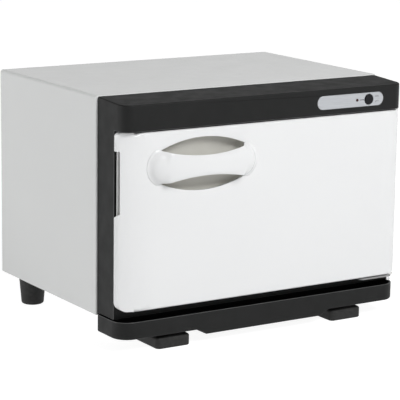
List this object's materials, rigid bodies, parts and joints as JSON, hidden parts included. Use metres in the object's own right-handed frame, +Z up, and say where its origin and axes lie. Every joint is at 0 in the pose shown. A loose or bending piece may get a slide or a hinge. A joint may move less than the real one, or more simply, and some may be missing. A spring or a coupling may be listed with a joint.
{
  "type": "hot towel cabinet",
  "caption": "Small countertop hot towel cabinet: heated chamber behind a hinged white door with a bar handle, black header with a push switch, pull-out drip tray, on feet.",
  "frame": {"origin": "on the worktop, under the middle of the overall bounding box", "axes": "+X to the right of someone facing the door, +Y away from them towards the rear, +Z up"},
  "size_m": [0.35, 0.282, 0.2578],
  "materials": {
    "white_enamel": "satin baked enamel",
    "zinc_steel": "zinc-plated",
    "black_moulding": "fine satin texture",
    "white_moulding": "smooth semi-gloss",
    "white_panel": "smooth satin",
    "grey_cup": "satin, warm grey",
    "plate_metal": "fine brushed, clear lacquer",
    "black_button": "polished",
    "switch_black": "satin",
    "lens_clear": "polished, dark when off",
    "lamp_neutral": "satin",
    "liner_metal": "satin rolled",
    "mineral_wool": "fibrous",
    "heater_silicone": "matte silicone",
    "ceramic_white": "dull",
    "gasket_rubber": "matte silicone",
    "foot_rubber": "matte",
    "acetal_white": "satin",
    "bright_steel": "bright zinc",
    "rack_wire": "bright plated wire"
  },
  "bodies": {
    "cabinet": {"outer_case": "white_enamel", "base_panel": "zinc_steel", "rear_panel": "white_enamel", "front_frame": "black_moulding", "control_plate": "plate_metal", "switch_body": "switch_black", "switch_nut": "switch_black", "pilot_lens": "lens_clear", "pilot_lamp": "lamp_neutral", "chamber_liner": "liner_metal", "insulation_left": "mineral_wool", "insulation_right": "mineral_wool", "insulation_top": "mineral_wool", "insulation_bottom": "mineral_wool", "insulation_back": "mineral_wool", "heater_mat": "heater_silicone", "thermostat": "ceramic_white", "thermal_fuse": "ceramic_white", "fuse_clamp": "zinc_steel", "terminal_block": "switch_black", "wiring_loom": "heater_silicone", "cord_gland": "switch_black", "front_foot_left": "foot_rubber", "front_foot_right": "foot_rubber", "rear_foot_left": "foot_rubber", "rear_foot_right": "foot_rubber", "tray_guides": "black_moulding", "magnet_catch": "switch_black", "lower_hinge_bracket": "zinc_steel", "upper_hinge_bracket": "zinc_steel", "lower_hinge_pin": "bright_steel", "upper_hinge_pin": "bright_steel", "rear_panel_screws": "bright_steel", "base_screws": "bright_steel", "foot_screws": "bright_steel", "liner_screws": "bright_steel", "hinge_screws": "bright_steel"},
    "door": {"door_shell": "white_moulding", "handle_cup": "grey_cup", "door_inner_panel": "white_panel", "door_insulation": "mineral_wool", "door_gasket": "gasket_rubber", "hinge_bush_lower": "acetal_white", "hinge_bush_upper": "acetal_white", "door_strike": "zinc_steel", "door_screws": "bright_steel"},
    "power_button": {"button_cap": "black_button"},
    "tray": {"drip_tray": "black_moulding"},
    "rack": {"wire_rack": "rack_wire"}
  },
  "joints": [
    {"name": "door_hinge", "type": "hinge", "parent": "cabinet", "child": "door", "pos_m": [0.167, -0.1195, 0.135], "axis": [0, 0, 1], "range_deg": [0, 110]},
    {"name": "button_press", "type": "slide", "parent": "cabinet", "child": "power_button", "axis": [0, 1, 0], "range_m": [0, 0.0025], "stiffness_N_per_m": 300},
    {"name": "tray_slide", "type": "slide", "parent": "cabinet", "child": "tray", "axis": [0, -1, 0], "range_m": [0, 0.06]},
    {"name": "rack_slide", "type": "slide", "parent": "cabinet", "child": "rack", "axis": [0, -1, 0], "range_m": [0, 0.006]}
  ]
}
